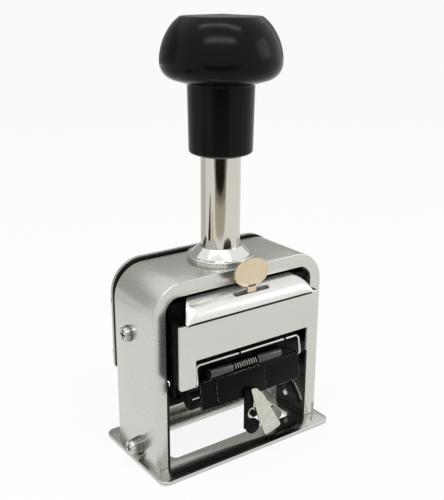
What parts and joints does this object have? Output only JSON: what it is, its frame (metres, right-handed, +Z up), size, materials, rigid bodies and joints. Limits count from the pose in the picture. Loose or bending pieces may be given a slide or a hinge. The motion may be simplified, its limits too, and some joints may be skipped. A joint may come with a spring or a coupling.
{
  "type": "numbering machine",
  "caption": "Hand-operated automatic numbering machine: plunger in an arch frame presses number wheels through a base window past a swinging ink pad.",
  "frame": {"origin": "on the plunger's axis, in the plane of the base's underside, in the middle of the printing window's length", "axes": "+Z up along the plunger, the front with the flap and finger lever faces -Y, +X to the right seen from the front"},
  "size_m": [0.0864, 0.0471, 0.1612],
  "materials": {
    "nickel": "bright nickel plate on steel, lightly satin",
    "chrome": "mirror chrome plate",
    "black_plastic": "polished black moulded plastic",
    "cover_steel": "satin nickel plated sheet",
    "black_enamel": "semi-gloss black enamel",
    "screw_steel": "bright nickel plated steel",
    "shaft_steel": "ground and oiled steel",
    "spring_steel": "drawn spring wire",
    "type_metal": "machined type metal, ink stained",
    "gilt_brass": "gilt, fine brushed face",
    "ink_felt": "dense wool felt soaked with black ink"
  },
  "bodies": {
    "frame": {"base_plate": "nickel", "main_frame": "nickel", "rear_apron": "nickel", "lower_bushes": "nickel", "upper_washers": "nickel", "spring_seat": "nickel", "collar": "chrome", "collar_ring": "chrome", "rear_cover": "cover_steel", "rear_liner": "black_enamel", "rear_cover_screws": "black_enamel", "base_screws": "screw_steel", "upper_side_screws": "screw_steel", "lower_side_screws": "screw_steel", "foot_pins": "screw_steel", "apron_rivets": "screw_steel", "cross_shaft": "shaft_steel", "spring_rod": "shaft_steel", "cam_plate_left": "shaft_steel", "cam_plate_right": "shaft_steel", "return_spring": "spring_steel"},
    "carriage": {"plunger_tube": "chrome", "knob": "black_plastic", "plunger_plug": "shaft_steel", "crosshead_front": "black_enamel", "crosshead_rear": "black_enamel", "side_plate_left": "black_enamel", "side_plate_right": "black_enamel", "front_plate": "nickel", "hood": "nickel", "wheel_shaft": "shaft_steel", "shaft_spacers": "shaft_steel", "flap_bracket": "black_enamel", "wire_bail": "spring_steel", "flap_hinge_pin": "black_enamel", "torsion_spring": "spring_steel", "catch_arm": "black_enamel", "detent_comb": "spring_steel", "detent_rod": "shaft_steel", "selector_pin": "screw_steel"},
    "pad_swing": {"pad_arm_left": "black_enamel", "pad_arm_right": "black_enamel", "pad_tray": "black_enamel", "ink_pad": "ink_felt", "cam_followers": "screw_steel"},
    "flap_swing": {"flap": "black_enamel", "flap_leaf": "black_enamel", "release_tongue": "black_enamel", "finger_lever_pin": "black_enamel"},
    "pawl_swing": {"pawl_yoke": "shaft_steel", "comb_pawl": "shaft_steel"},
    "finger_lever": {"finger_lever": "screw_steel"},
    "selector": {"selector_tab": "gilt_brass"},
    "wheel_hundred_thousands": {"wheel_hundred_thousands": "type_metal"},
    "wheel_ten_thousands": {"wheel_ten_thousands": "type_metal"},
    "wheel_thousands": {"wheel_thousands": "type_metal"},
    "wheel_hundreds": {"wheel_hundreds": "type_metal"},
    "wheel_tens": {"wheel_tens": "type_metal"},
    "wheel_units": {"wheel_units": "type_metal"}
  },
  "joints": [
    {"name": "plunger_slide", "type": "slide", "parent": "frame", "child": "carriage", "axis": [0, 0, -1], "range_m": [0, 0.025], "stiffness_N_per_m": 350, "springref_m": -0.02, "deforming": ["return_spring"]},
    {"name": "pad_hinge", "type": "hinge", "parent": "carriage", "child": "pad_swing", "pos_m": [0, 0, 0.03425], "axis": [-1, 0, 0], "range_deg": [0, 84.01]},
    {"name": "flap_hinge", "type": "hinge", "parent": "carriage", "child": "flap_swing", "pos_m": [0, -0.0188, 0.0376], "axis": [-1, 0, 0], "range_deg": [0, 75.01]},
    {"name": "pawl_hinge", "type": "hinge", "parent": "carriage", "child": "pawl_swing", "pos_m": [0, 0, 0.03425], "axis": [1, 0, 0], "range_deg": [0, 40.01]},
    {"name": "finger_lever_hinge", "type": "hinge", "parent": "flap_swing", "child": "finger_lever", "pos_m": [-0.0016, -0.0236, 0.0187], "axis": [0, -1, 0], "range_deg": [0, 25]},
    {"name": "selector_hinge", "type": "hinge", "parent": "carriage", "child": "selector", "pos_m": [0, -0.0194, 0.0534], "axis": [0, 1, 0], "range_deg": [-15, 15]},
    {"name": "hundred_thousands_wheel_spin", "type": "hinge", "parent": "carriage", "child": "wheel_hundred_thousands", "pos_m": [0, 0, 0.03425], "axis": [1, 0, 0], "continuous": true},
    {"name": "ten_thousands_wheel_spin", "type": "hinge", "parent": "carriage", "child": "wheel_ten_thousands", "pos_m": [0, 0, 0.03425], "axis": [1, 0, 0], "continuous": true},
    {"name": "thousands_wheel_spin", "type": "hinge", "parent": "carriage", "child": "wheel_thousands", "pos_m": [0, 0, 0.03425], "axis": [1, 0, 0], "continuous": true},
    {"name": "hundreds_wheel_spin", "type": "hinge", "parent": "carriage", "child": "wheel_hundreds", "pos_m": [0, 0, 0.03425], "axis": [1, 0, 0], "continuous": true},
    {"name": "tens_wheel_spin", "type": "hinge", "parent": "carriage", "child": "wheel_tens", "pos_m": [0, 0, 0.03425], "axis": [1, 0, 0], "continuous": true},
    {"name": "units_wheel_spin", "type": "hinge", "parent": "carriage", "child": "wheel_units", "pos_m": [0, 0, 0.03425], "axis": [1, 0, 0], "continuous": true}
  ],
  "couplings": [
    {"joint": "pad_hinge", "follows": "plunger_slide", "rad_per_m": 58.643},
    {"joint": "flap_hinge", "follows": "plunger_slide", "rad_per_m": 52.36},
    {"joint": "pawl_hinge", "follows": "plunger_slide", "rad_per_m": 27.925}
  ]
}
